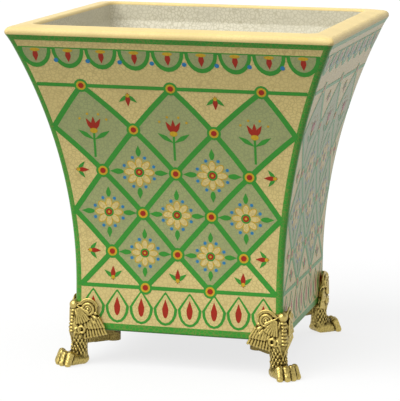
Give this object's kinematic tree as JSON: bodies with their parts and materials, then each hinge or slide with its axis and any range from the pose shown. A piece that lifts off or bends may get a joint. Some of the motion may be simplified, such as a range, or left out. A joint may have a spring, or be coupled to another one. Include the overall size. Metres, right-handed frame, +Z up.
{
  "type": "footed square planter",
  "caption": "Flared square porcelain planter with a rolled rim, held at its bottom corners by cast brass winged paw feet that are clamped through the floor.",
  "frame": {"origin": "on the floor under the middle of the planter", "axes": "+Z up, the front of the picture looks along -Y, +X to its right"},
  "size_m": [0.252, 0.252, 0.268],
  "materials": {
    "porcelain": "crackled gloss glaze",
    "brass": "cast, antiqued",
    "rubber": "matt"
  },
  "bodies": {
    "root": {"vessel": "porcelain", "foot_front_right": "brass", "foot_front_left": "brass", "foot_rear_right": "brass", "foot_rear_left": "brass", "seat_pad_front_right": "rubber", "seat_pad_front_left": "rubber", "seat_pad_rear_right": "rubber", "seat_pad_rear_left": "rubber", "stud_front_right": "brass", "stud_front_left": "brass", "stud_rear_right": "brass", "stud_rear_left": "brass", "seal_washer_front_right": "rubber", "seal_washer_front_left": "rubber", "seal_washer_rear_right": "rubber", "seal_washer_rear_left": "rubber", "washer_front_right": "brass", "washer_front_left": "brass", "washer_rear_right": "brass", "washer_rear_left": "brass", "nut_front_right": "brass", "nut_front_left": "brass", "nut_rear_right": "brass", "nut_rear_left": "brass"}
  },
  "joints": []
}
